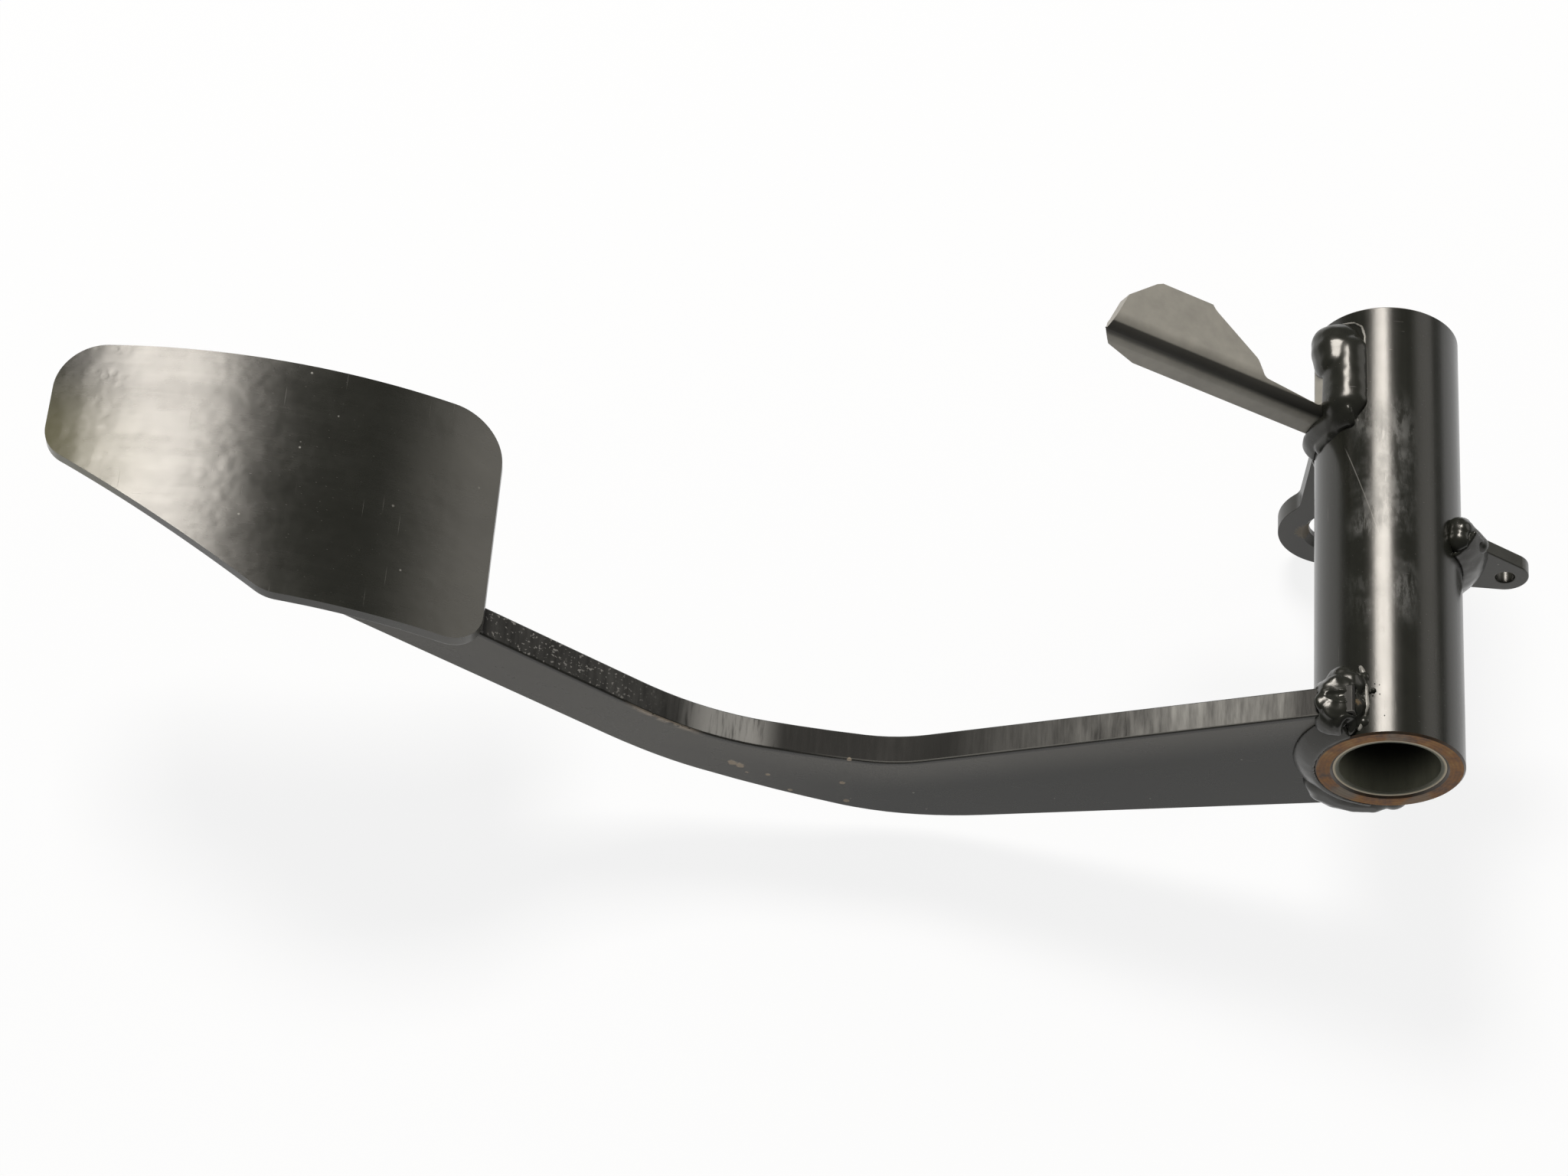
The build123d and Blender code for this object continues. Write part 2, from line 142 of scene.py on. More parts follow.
# Weld metal added to the frame's own beads, with lengths in mm and angles in degrees round the pivot
FRONT_CROWNS = (((-22.3, -66.9, 21.3), (3.4, 3.6, 1.6)), ((-19.6, -70.0, 22.2), (3.8, 3.0, 1.6)))
FRONT_RIDGE = ((-22.2, 0.66), (-64.0, 0.36), (21.3, 0.10))  # start and step along each axis
FRONT_DENTS = (  # place, radius, depth and stretch
    ((-16.6, -73.0, 19.6), 2.7, 1.5, (1.0, 1.0, 1.0)), ((-18.4, -65.6, 22.6), 2.3, 0.8, (1.6, 0.8, 1.0)))
BACK_LUMPS = (  # angle, lift over the tube, place along it from the arm's middle, radius
    (170, 0.8, -3.6, 4.7), (182, 3.1, -4.7, 4.8), (194, 4.3, -4.7, 4.9),
    (206, 4.8, -4.7, 4.9), (218, 4.3, -4.7, 4.9), (226, 3.0, -4.6, 4.7))
SKIRT = (  # angle, lift over the tube, place along it, radius
    (-77, -1.6, 33.4, 2.6), (-61, -1.6, 34.2, 2.6), (-50, -1.6, 35.6, 2.6), (-39, -1.6, 37.4, 2.6),
    (-34, -1.6, 41.0, 2.6))
LONG_BEAD = (  # place and radii
    (-16.5, 57.2, 14.2, 7.6, 6.4, 6.6), (-16.7, 62.0, 13.9, 8.4, 6.4, 7.0),
    (-16.7, 65.4, 13.5, 8.2, 6.4, 6.6))
TAB_TOP = (
    (19.0, 1.6, 14.6, 3.0, 3.0, 3.0), (22.8, -1.0, 13.4, 3.0, 3.0, 2.9), (26.2, -1.8, 10.8, 2.3, 2.4, 2.2))
FRONT_LIP = (  # angle and place along the tube
    (-31.4, -53.0), (-29.0, -55.6), (-27.0, -60.6), (-26.6, -66.6), (-29.2, -70.8), (-33.0, -74.2))
LONG_LIP = (
    (-56, 73.0), (-45.3, 72.2), (-35.2, 71.2), (-29.0, 69.2), (-26.4, 65.2), (-27.1, 56.6),
    (-29.7, 48.3), (-33.0, 41.5), (-37.7, 36.8), (-45.6, 35.2))
SPATTER = (  # angle, place along the tube, radius
    (-28.0, -61.3, 0.45), (-23.9, -61.9, 0.55), (-21.5, -61.5, 0.85), (-26.3, -62.8, 0.5),
    (-28.8, -72.1, 0.5), (-30.5, -66.8, 0.5), (-25.1, -66.5, 0.4))

# The camera as fitted to the photograph, the point that the lamps face, and the floor
SENSOR_WIDTH = 36.0
FOCAL_LENGTH = 94.41
CAMERA_PLACE = Vector((-0.182447, -0.673800, 1.056078))
CAMERA_RIGHT = Vector((0.99678, 0.06850, 0.04176))
CAMERA_UP = Vector((-0.08022, 0.85111, 0.51882))
AIM = Vector((-0.19, -0.02, 0.0))
LAMPS = (  # name, setting of its power, size, place from the aim, colour
    ("key_light", "key_power", (1.45, 1.1), (-0.89, 2.12, 3.38), (1.0, 0.965, 0.91)),
    ("side_light", "side_power", (1.6, 1.2), (2.16, 1.56, 1.40), (1.0, 0.98, 0.95)))
FLOOR_SIZE = 9.0
FLOOR_GAP = 0.4 * MM
FLOOR_GLOW = 1.05  # how bright the floor looks in the picture and in reflections
GLOW_SHARE = 0.82  # the rest of its look takes the light and the shadow


# Settings that a user would change
class PaintSettings(bpy.types.PropertyGroup):
    black: FloatVectorProperty(
        name="Black", description="The paint's own colour", subtype="COLOR", size=3,
        default=(0.0185, 0.0192, 0.0150), min=0.0, max=1.0)
    gloss: FloatProperty(
        name="Roughness", description="How matt the paint is", subtype="FACTOR",
        default=0.28, min=0.05, max=1.0)
    # Painted light: the latch bracket's lighter copy of the black paint stands for the light it reflects
    thin: FloatVectorProperty(
        name="Thin coat", description="Colour of the thin dusty coat on the latch bracket", subtype="COLOR",
        size=3, default=(0.37, 0.353, 0.310), min=0.0, max=1.0)
    peel: FloatProperty(
        name="Orange peel", description="Strength of the paint's fine waviness",
        default=0.08, min=0.0, max=1.0)
    dust: FloatProperty(
        name="Dust specks", description="Share of the surface's cells that hold a pale speck",
        default=0.07, min=0.0, max=1.0)
    chip: FloatVectorProperty(
        name="Chip", description="Colour of bare spots under the paint", subtype="COLOR", size=3,
        default=(0.50, 0.42, 0.33), min=0.0, max=1.0)


class SteelSettings(bpy.types.PropertyGroup):
    rust: FloatVectorProperty(
        name="Rust", description="Colour of the tube's unpainted end faces", subtype="COLOR", size=3,
        default=(0.33, 0.145, 0.036), min=0.0, max=1.0)
    bush: FloatVectorProperty(
        name="Bush steel", description="Colour of the bushes' bare steel", subtype="COLOR", size=3,
        default=(0.60, 0.52, 0.38), min=0.0, max=1.0)
    # Painted light along the lit foot of the bore
    bore_foot_light: FloatVectorProperty(
        name="Grease", description="Colour of the old grease in the bore", subtype="COLOR", size=3,
        default=(0.34, 0.34, 0.25), min=0.0, max=1.0)
    edge: FloatProperty(
        name="Edge rounding", description="Radius of the plates' rounded edges",
        default=0.7 * MM, min=0.1 * MM, max=2.0 * MM, unit="LENGTH", precision=5)


class WeldSettings(bpy.types.PropertyGroup):
    voxel: FloatProperty(
        name="Grain", description="Size of the cells that the weld metal is melted together from",
        default=0.34 * MM, min=0.2 * MM, max=2.0 * MM, unit="LENGTH", precision=5)
    lumps: FloatProperty(
        name="Lumps", description="Height of the uneven lumps on a hand-laid bead",
        default=0.50 * MM, min=0.0, max=2.0 * MM, unit="LENGTH", precision=5)
    lip: FloatProperty(
        name="Lip", description="Radius of the thin raised line along a bead's foot",
        default=0.62 * MM, min=0.1 * MM, max=1.0 * MM, unit="LENGTH", precision=5)
    seed: IntProperty(
        name="Seed", description="Start of the random spread of fine spatter", default=11, min=0)


class StageSettings(bpy.types.PropertyGroup):
    floor: FloatVectorProperty(
        name="Floor", description="Colour of the floor", subtype="COLOR", size=3,
        default=(0.88, 0.89, 0.91), min=0.0, max=1.0)
    key_power: FloatProperty(
        name="Key light", description="Power of the large soft light above and behind",
        default=135.0, min=0.0, unit="POWER")
    side_power: FloatProperty(
        name="Side light", description="Power of the dim panel on the right",
        default=7.0, min=0.0, unit="POWER")
    sky: FloatProperty(name="Sky", description="Level of the room above the horizon", default=0.11, min=0.0)


# Shader maths
class Value:
    """A socket that can be reckoned with like a number."""

    def __init__(self, finish, socket):
        self.finish = finish
        self.socket = socket

    def math(self, operation, *others):
        return self.finish.node("ShaderNodeMath", {"operation": operation}, dict(enumerate(others)))

    def __add__(self, other):
        return self.math("ADD", self, other)

    def __radd__(self, other):
        return self.math("ADD", other, self)

    def __sub__(self, other):
        return self.math("SUBTRACT", self, other)

    def __rsub__(self, other):
        return self.math("SUBTRACT", other, self)

    def __mul__(self, other):
        return self.math("MULTIPLY", self, other)

    def __rmul__(self, other):
        return self.math("MULTIPLY", other, self)

    def __truediv__(self, other):
        return self.math("DIVIDE", self, other)

    def __abs__(self):
        return self.math("ABSOLUTE", self)

    def above(self, level, soft):
        """1 where the value is over the level, 0 under it, with a soft step between."""
        return self.finish.step(self, level - soft, level + soft)

    def below(self, level, soft):
        return self.finish.step(self, level + soft, level - soft)

    def between(self, low, high, soft):
        return self.above(low, soft) * self.below(high, soft)

    def most(self, other):
        return self.math("MAXIMUM", self, other)


class Finish:
    """A material or a world under way: one method adds every kind of node."""

    def __init__(self, owner):
        self.owner = owner
        owner.use_nodes = True
        self.tree = owner.node_tree
        self.tree.nodes.clear()

    def node(self, kind, settings=None, inputs=None, output=0):
        """Adds a node, sets it up, fills or links its sockets, and gives back one of its outputs."""
        made = self.tree.nodes.new(kind)
        for name, value in (settings or {}).items():
            if name == "stops":
                ramp = made.color_ramp.elements
                while len(ramp) < len(value):
                    ramp.new(0.5)
                for stop, (place, colour) in zip(ramp, value):
                    stop.position = place
                    stop.color = (*colour, 1.0)
            else:
                setattr(made, name, value)
        for name, value in (inputs or {}).items():
            if isinstance(value, Value):
                self.tree.links.new(value.socket, made.inputs[name])
            elif isinstance(value, (tuple, list)) and made.inputs[name].type == "RGBA" and len(value) == 3:
                made.inputs[name].default_value = (*value, 1.0)
            else:
                made.inputs[name].default_value = value
        return Value(self, made.outputs[output]) if made.outputs else None

    def place(self):
        """Object coordinates, in metres."""
        return self.node("ShaderNodeTexCoord", output="Object")

    def facing(self):
        """The surface's own direction in the part's frame."""
        return self.node("ShaderNodeTexCoord", output="Normal")

    def part(self, vector, axis):
        """A vector's part along one axis."""
        return self.node("ShaderNodeSeparateXYZ", inputs={0: vector}, output=axis)

    def distance(self, vector, centre):
        return self.node("ShaderNodeVectorMath", {"operation": "DISTANCE"}, {0: vector, 1: centre}, 1)

    def stretched(self, vector, scale, turn=(0.0, 0.0, 0.0)):
        return self.node("ShaderNodeMapping", inputs={"Vector": vector, "Scale": scale, "Rotation": turn})

    def noise(self, vector, scale, detail=3.0, rough=0.5):
        """Cloudy noise from 0 to 1, with its scale in cycles a metre."""
        return self.node("ShaderNodeTexNoise", inputs={
            "Vector": vector, "Scale": scale, "Detail": detail, "Roughness": rough})

    def streaks(self, vector, scale, turn=(0.0, 0.0, 0.0), detail=4.0, rough=0.6):
        """Noise that is stretched into streaks, with a scale in cycles a metre along each axis."""
        return self.noise(self.stretched(vector, scale, turn), 1.0, detail, rough)

    def cells(self, vector, scale, output="Distance"):
        return self.node("ShaderNodeTexVoronoi", inputs={"Vector": vector, "Scale": scale}, output=output)

    def scratches(self, vector, scale, turn):
        """Thin straight scratches: the middles of long narrow cells."""
        return self.cells(self.stretched(vector, scale, turn), 1.0).below(0.05, 0.02)

    def rings(self, vector, scale, distortion, detail):
        """Turned rings round the tube's axis."""
        return self.node("ShaderNodeTexWave", {"wave_type": "RINGS", "rings_direction": "Y"}, {
            "Vector": vector, "Scale": scale, "Distortion": distortion, "Detail": detail})

    def step(self, value, low, high):
        """A soft step from 0 at low to 1 at high, or from 1 down to 0 where high is the lower one."""
        inputs = {"Value": value, "From Min": min(low, high), "From Max": max(low, high)}
        if low > high:
            inputs.update({"To Min": 1.0, "To Max": 0.0})
        return self.node("ShaderNodeMapRange", {"interpolation_type": "SMOOTHSTEP"}, inputs)

    def mix(self, share, first, second):
        return self.node("ShaderNodeMix", {"data_type": "RGBA"}, {0: share, 6: first, 7: second}, 2)

    def scaled(self, colour, amount):
        """A colour made lighter or darker by a value."""
        grey = self.node("ShaderNodeCombineColor", inputs={0: amount, 1: amount, 2: amount})
        return self.node("ShaderNodeMix", {"data_type": "RGBA", "blend_type": "MULTIPLY"},
                         {0: 1.0, 6: colour, 7: grey}, 2)

    def along(self, value, stops):
        """A grey level that follows a value through (value, level) stops."""
        low, high = stops[0][0], stops[-1][0]
        levels = [((place - low) / (high - low), (level,) * 3) for place, level in stops]
        ramp = self.node("ShaderNodeValToRGB", {"stops": levels}, {0: (value - low) / (high - low)})
        return self.part(ramp, 0)

    def spot(self, vector, centre, radius, soft):
        """1 inside a ball round a point, fading out at its edge."""
        return self.distance(vector, centre).below(radius, radius * soft)

    def bump(self, height, strength, distance=BUMP_DEPTH, normal=None):
        inputs = {"Height": height, "Strength": strength, "Distance": distance}
        if normal is not None:
            inputs["Normal"] = normal
        return self.node("ShaderNodeBump", inputs=inputs)

    def surface(self, colour, rough, normal, metal=0.0, **fixed):
        """Ends a material in one shader; the fixed values go to its sockets by name."""
        inputs = {"Base Color": colour, "Roughness": rough, "Metallic": metal, "Normal": normal}
        for name, value in fixed.items():
            inputs[name.replace("_", " ").title().replace("Ior", "IOR")] = value
        shader = self.node("ShaderNodeBsdfPrincipled", inputs=inputs)
        self.node("ShaderNodeOutputMaterial", inputs={"Surface": shader})
        return self.owner


def new_finish(name):
    return Finish(bpy.data.materials.new(name))


def black_paint(finish, where, base, gloss, peel_scale=620.0):
    """Black paint with orange peel, rubs, scratches and specks: its colour, roughness and height."""
    settings = bpy.context.scene.pedal_paint
    cloud = finish.noise(where, 45.0, 4.0, 0.6)
    fine = finish.noise(where, 260.0, 5.0, 0.65)
    colour = finish.scaled(tuple(base), 0.70 + cloud * 0.36 + fine * 0.24)
    speck_scale = 210.0
    picked = finish.part(finish.cells(where, speck_scale, "Color"), 0).below(settings.dust, 0.01)
    specks = finish.cells(where, speck_scale).below(0.075, 0.03) * picked
    long_scratch = finish.scratches(where, (900.0, 16.0, 900.0), (0.0, 0.0, 0.22))
    cross_scratch = finish.scratches(where, (30.0, 1000.0, 1000.0), (0.3, 0.5, -0.4))
    pale = specks.most(long_scratch.most(cross_scratch) * 0.35)
    colour = finish.mix(pale * 0.8, colour, SPECK)
    rough = gloss + (cloud - 0.5) * 0.12 + (fine - 0.5) * 0.04 + pale * 0.25
    height = finish.noise(where, peel_scale, 2.0, 0.5) * 0.6 + fine * 0.4
    return colour, rough, height


def lip_paint():
    """The paint on the thin raised line along a bead's foot, with a painted highlight in pale patches."""
    finish = new_finish("lip_paint")
    where = finish.place()
    patchy = finish.noise(where, 330.0, 3.0, 0.6)
    settings = bpy.context.scene.pedal_paint
    colour, rough, height = black_paint(finish, where, settings.black, settings.gloss)
    # Painted highlight: pale patches along the lip
    colour = finish.mix(patchy.above(0.40, 0.12), colour, LIP_HIGHLIGHT)
    return finish.surface(colour, rough, finish.bump(height, settings.peel), specular_tint=WARM)


def bare_chips(finish, where, spots):
    """The mask of bare chips at the given places, with ragged edges."""
    ragged = finish.noise(where, 900.0, 3.0, 0.7)
    mask = None
    for centre, radius in spots:
        near = finish.distance(where, centre)
        chip = (near + (ragged - 0.5) * radius * 0.9).below(radius, radius * 0.2)
        mask = chip if mask is None else mask.most(chip)
    return mask


def plate_paint(name, base, gloss, chips=(), fold=False):
    """The paint of a plain plate, bare at its chips; on a fold, painted shade across the bend and painted
    light on the faces turned towards -Y.
    """
    settings = bpy.context.scene.pedal_paint
    finish = new_finish(name)
    where = finish.place()
    colour, rough, height = black_paint(finish, where, base, gloss)
    broad = finish.noise(where, 90.0, 3.0, 0.6)
    colour = finish.scaled(colour, 0.82 + broad * 0.36)
    if fold:
        # Painted light on the faces turned towards -Y, and painted shade in a band across the bend
        front = finish.part(finish.facing(), 1)
        bend_shade = front.between(-0.88, -0.48, 0.05)
        colour = finish.scaled(colour, 1.0 + front.below(-0.92, 0.03) * 0.55)
        colour = finish.mix(bend_shade * 0.85, colour, FOLD_SHADE)
        rough = rough - bend_shade * 0.14
    if chips:
        mask = bare_chips(finish, where, chips)
        colour = finish.mix(mask * 0.75, colour, PLATE_CHIP)
        rough = rough + mask * 0.2
        height = height - mask * 0.8
    return finish.surface(colour, rough, finish.bump(height + broad, settings.peel), specular_tint=WARM)


def tube_paint():
    """The tube's paint, with a dull smear on its crown and bare rusty end faces."""
    paint = bpy.context.scene.pedal_paint
    steel = bpy.context.scene.pedal_steel
    finish = new_finish("tube_paint")
    where = finish.place()
    across, along, high = (finish.part(where, axis) for axis in range(3))
    colour, rough, height = black_paint(finish, where, paint.black, paint.gloss - 0.05)
    streak = finish.streaks(where, (500.0, 14.0, 500.0))
    colour = finish.scaled(colour, 0.80 + streak * 0.40)
    rough = rough + (streak - 0.5) * 0.10

    # A broad dull smear on the crown, worn thin in cloudy patches
    smear = finish.noise(where, 38.0, 4.0, 0.6).above(0.52, 0.10)
    smear = smear * across.between(-0.013, 0.003, 0.004) * along.between(-0.035, 0.036, 0.012)
    rubs = finish.streaks(where, (320.0, 90.0, 320.0), (0.0, 0.0, 0.5), 5.0, 0.7)
    smear = smear * rubs.above(0.48, 0.12)
    colour = finish.mix(smear * 0.42, colour, SMEAR)
    rough = rough + smear * 0.14

    # One long fine scratch on the crown's left
    line = abs(across + 0.0105 + (along - 0.008) * 0.28).below(0.00012, 0.00010)
    line = line * along.between(-0.006, 0.024, 0.003) * high.above(0.0, 0.002)
    colour = finish.mix(line * 0.5, colour, SCRATCH)

    # Rust on the end faces, crusted in places, with one grey spot and faint turned rings
    ends = abs(finish.part(finish.facing(), 1)).above(0.75, 0.1)
    blotch = finish.noise(where, 190.0, 6.0, 0.65)
    patch = finish.noise(where, 85.0, 3.0, 0.5)
    rust = finish.node("ShaderNodeValToRGB", {"stops": [
        (0.30, (0.060, 0.026, 0.010)), (0.43, (0.20, 0.085, 0.024)), (0.56, tuple(steel.rust)),
        (0.68, (0.40, 0.22, 0.075)), (0.78, (0.44, 0.34, 0.22))]}, {0: blotch})
    rust = finish.mix(patch.above(0.62, 0.06) * 0.5, rust, RUST_CRUST)
    grey = finish.spot(where, (-0.0115, -0.076, -0.0165), 0.0042, 0.5)
    rust = finish.mix(grey * 0.6, rust, RUST_GREY)
    turned = finish.rings(where, 260.0, 1.5, 3.0)
    colour = finish.mix(ends, colour, finish.scaled(rust, 0.80 + turned * 0.2))
    rough = rough + ends * (0.66 - paint.gloss + (blotch - 0.5) * 0.3)
    height = height + ends * (turned * 0.5 + blotch * 1.6)
    return finish.surface(colour, rough, finish.bump(height, paint.peel * 1.2), specular_tint=WARM)


def arm_paint():
    """The arm's paint, with the streaked cut edge on its top, the burr and the chips along it, and painted
    highlights, reflection and shade on its edge and face.
    """
    paint = bpy.context.scene.pedal_paint
    finish = new_finish("arm_paint")
    where = finish.place()
    x, y, z = (finish.part(where, axis) for axis in range(3))
    colour, rough, height = black_paint(finish, where, paint.black, paint.gloss)
    front = finish.part(finish.facing(), 1)
    cut = abs(front).below(0.35, 0.15)

    # Streaks that the cutter left across the edge, with a painted highlight whose strength follows the edge's
    # length, strongest towards the tube
    streak = finish.streaks(where, (620.0, 60.0, 60.0), (0.0, 0.0, 0.12))
    coarse = finish.streaks(where, (150.0, 40.0, 40.0), (0.0, 0.0, -0.1), 3.0)
    worn = finish.along(x, (
        (-0.332, 0.035), (-0.212, 0.035), (-0.178, 0.010), (-0.130, 0.014), (-0.098, 0.085),
        (-0.055, 0.24), (-0.034, 0.20), (-0.029, 0.02), (0.0, 0.02)))
    contrast = (1.0 + (streak - 0.5) * 2.4 + (coarse - 0.5) * 2.6).most(0.10)
    colour = finish.mix(cut * 0.9, colour, finish.scaled(CUT_EDGE_HIGHLIGHT, worn * contrast))
    matt = finish.along(x, (
        (-0.332, 0.30), (-0.212, 0.20), (-0.196, 0.08), (-0.180, 0.36), (-0.128, 0.36), (-0.100, 0.16),
        (0.0, 0.14)))
    rough = rough + cut * (matt + (streak - 0.5) * 0.3 + (coarse - 0.5) * 0.2)
    height = height + cut * (streak * 2.6 + coarse * 2.4)

    # A painted highlight on the stretch of edge near the second bend, and the speckle beside the pad
    bend_highlight = cut * x.between(-0.207, -0.184, 0.006) * streak.above(0.38, 0.16)
    colour = finish.mix(bend_highlight * 0.8, colour, BEND_HIGHLIGHT)
    speckle = cut * x.between(-0.275, -0.225, 0.012) * finish.noise(where, 900.0, 2.0, 0.6).above(0.63, 0.03)
    colour = finish.mix(speckle * 0.6, colour, CUT_SPECKLE)

    # Painted reflection: the face is painted lighter towards its top edge near the tube, and all over beside
    # the pad
    deep = finish.along(x, ARM_TOP) * ARM_TOP_SPAN - ARM_TOP_DROP - z
    face = front.below(-0.6, 0.1)
    near_tube = x.above(-0.185, 0.045)
    pale = deep.below(0.010, 0.010) * near_tube + (1.0 - near_tube) * 0.95
    colour = finish.mix(face * pale * 0.92, colour, FACE_REFLECTION)

    # A painted highlight on the rounded rim with a painted shade line under it, and the burr that the cutter
    # left on one stretch
    rim = front.between(-0.66, -0.14, 0.07) * x.above(-0.165, 0.02)
    colour = finish.mix(rim * 0.6, colour, RIM_HIGHLIGHT)
    colour = finish.mix(face * deep.below(0.0017, 0.0006) * 0.8, colour, EDGE_SHADE)
    burr = face * deep.below(0.0022, 0.0010) * x.between(-0.225, -0.206, 0.004)
    burr = burr * finish.streaks(where, (260.0, 260.0, 500.0), rough=0.7).above(0.46, 0.05)
    colour = finish.mix(burr * 0.8, colour, tuple(paint.chip))

    # A dull rub across the face, faint rolling marks along it, and the chips
    rub = abs(x + 0.1618 + z * 0.05).below(0.0018, 0.0012) * face
    rub = rub * finish.noise(where, 420.0, 4.0, 0.7).above(0.45, 0.15)
    colour = finish.mix(rub * 0.35, colour, FACE_RUB)
    rolled = finish.streaks(where, (9.0, 60.0, 150.0), (0.0, 0.18, 0.0))
    colour = finish.scaled(colour, 0.88 + rolled * 0.24)
    rough = rough + (rolled - 0.5) * 0.06
    chips = bare_chips(finish, where, ARM_CHIPS)
    colour = finish.mix(chips, colour, tuple(paint.chip))
    rough = rough + chips * 0.3 + rub * 0.15
    height = height * cut - chips * 1.5
    return finish.surface(colour, rough, finish.bump(height, paint.peel * 1.4), specular_tint=WARM,
                          specular_ior_level=0.3)


def pad_paint():
    """The pad's paint, polished by the foot along its length, with a painted reflection in blotches over its
    right end and a painted yellowish reflection at one corner.
    """
    paint = bpy.context.scene.pedal_paint
    finish = new_finish("pad_paint")
    where = finish.place()
    colour, rough, height = black_paint(finish, where, paint.black, paint.gloss - 0.01, 500.0)
    brushed = finish.streaks(where, (18.0, 520.0, 200.0), (0.0, 0.0, -0.10), 5.0, 0.65)
    broad = finish.streaks(where, (9.0, 60.0, 30.0), (0.0, 0.0, -0.12))
    blotch = finish.noise(where, 34.0, 3.0, 0.55)
    # Painted reflection in blotches over the pad's right end
    wear = finish.part(where, 0).above(-0.290, 0.018) * (0.45 + blotch * 0.9)
    colour = finish.mix(wear * 0.75, colour, PAD_REFLECTION)
    colour = finish.scaled(colour, 0.78 + brushed * 0.16 + broad * 0.13 + blotch * 0.15)
    rough = rough + (brushed - 0.5) * 0.06 + (broad - 0.5) * 0.08 + (blotch - 0.5) * 0.08
    # Painted yellowish reflection at the pad's left corner
    tinted_reflection = finish.spot(where, (-0.402, -0.030, 0.030), 0.026, 0.6)
    colour = finish.mix(tinted_reflection * 0.8, colour, PAD_TINTED_REFLECTION)

    # Pits and shallow dimples over a slow waviness of the whole plate
    pits = finish.cells(where, 520.0).below(0.10, 0.05) * finish.noise(where, 60.0, 2.0).above(0.55, 0.06)
    struck = finish.spot(where, (-0.386, 0.004, 0.030), 0.012, 0.6)
    dimples = finish.cells(where, 300.0).below(0.32, 0.15) * struck
    height = height * 0.6 + brushed * 0.35 - pits * 0.9 - dimples * 1.1
    wobble = finish.noise(where, 95.0, 2.0, 0.5)
    flow = finish.bump(broad * 0.3 + wobble * 0.7 + blotch * 0.6, 0.5, 0.5 * MM)
    return finish.surface(colour, rough, finish.bump(height, paint.peel, normal=flow), specular_tint=WARM)


def weld_paint(name, rusty=()):
    """Thick glossy paint over weld metal, with faint ripples and small rust-tan spots."""
    paint = bpy.context.scene.pedal_paint
    finish = new_finish(name)
    where = finish.place()
    colour, rough, height = black_paint(finish, where, paint.black, paint.gloss - 0.04)
    grit = finish.noise(where, 420.0, 3.0, 0.55)
    ripple = finish.noise(where, 170.0, 2.0, 0.5)
    colour = finish.scaled(colour, 0.9 + grit * 0.5)
    if rusty:
        mask = bare_chips(finish, where, rusty)
        colour = finish.mix(mask * 0.7, colour, WELD_RUST)
        rough = rough + mask * 0.3
    height = grit * 0.6 + ripple * 2.0 + height * 0.25
    return finish.surface(colour, rough, finish.bump(height, paint.peel * 2.0), specular_tint=WARM)


def bush_steel():
    """A bush's bare rolled steel: a turned, grimy rim with painted shade at its inner edge and in its gap to
    the tube, and a dull bore in painted shade with painted light along its foot.
    """
    steel = bpy.context.scene.pedal_steel
    finish = new_finish("bush_steel")
    where = finish.place()
    grime = finish.noise(where, 160.0, 5.0, 0.65)
    rings = finish.rings(where, 900.0, 2.0, 2.0)
    lines = finish.streaks(where, (300.0, 30.0, 300.0))

    # The rim, with painted shade on its rounded inner edge and in the gap to the tube
    rim = finish.scaled(tuple(steel.bush), 0.66 + grime * 0.5 + rings * 0.12)
    flat = finish.node("ShaderNodeVectorMath", {"operation": "MULTIPLY"}, {0: where, 1: (1.0, 0.0, 1.0)})
    away = finish.node("ShaderNodeVectorMath", {"operation": "LENGTH"}, {0: flat}, 1)
    rim = finish.mix(away.below(0.0161, 0.0003), rim, BUSH_INNER_SHADE)
    rim = finish.mix(away.above(0.01675, 0.0001), rim, BUSH_GAP_SHADE)

    # The bore, with painted light along its upturned foot near the ends
    low = finish.part(where, 2).below(-0.002, 0.012) * abs(finish.part(where, 1)).above(0.067, 0.008)
    bore = finish.scaled(finish.mix(low, BORE_SHADE, tuple(steel.bore_foot_light)), 0.65 + lines * 0.7)
    ends = abs(finish.part(finish.facing(), 1)).above(0.5, 0.25)
    colour = finish.mix(ends, bore, rim)
    rough = 0.50 + grime * 0.22 - ends * 0.08
    return finish.surface(colour, rough, finish.bump(rings * 0.4 + grime + lines * 0.5, 0.15), ends * 0.15)


# Mesh work
def dressed(node, material):
    """Gives a node of the frame its finish and leaves its shape as it is."""
    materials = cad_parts[node].data.materials
    materials.clear()
    materials.append(material)


def finished(name, body, material, nodes, sharp_angle=180.0):
    """Makes an object from a bmesh, in the part's frame, riding on the frame in the place of its nodes."""
    mesh = bpy.data.meshes.new(name)
    body.normal_update()
    body.to_mesh(mesh)
    body.free()
    mesh.materials.append(material)
    mesh.shade_smooth()
    mesh.set_sharp_from_angle(angle=math.radians(sharp_angle))
    piece = bpy.data.objects.new(name, mesh)
    bpy.context.scene.collection.objects.link(piece)
    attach(piece, "root")
    if nodes:
        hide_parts(*nodes)
    return piece


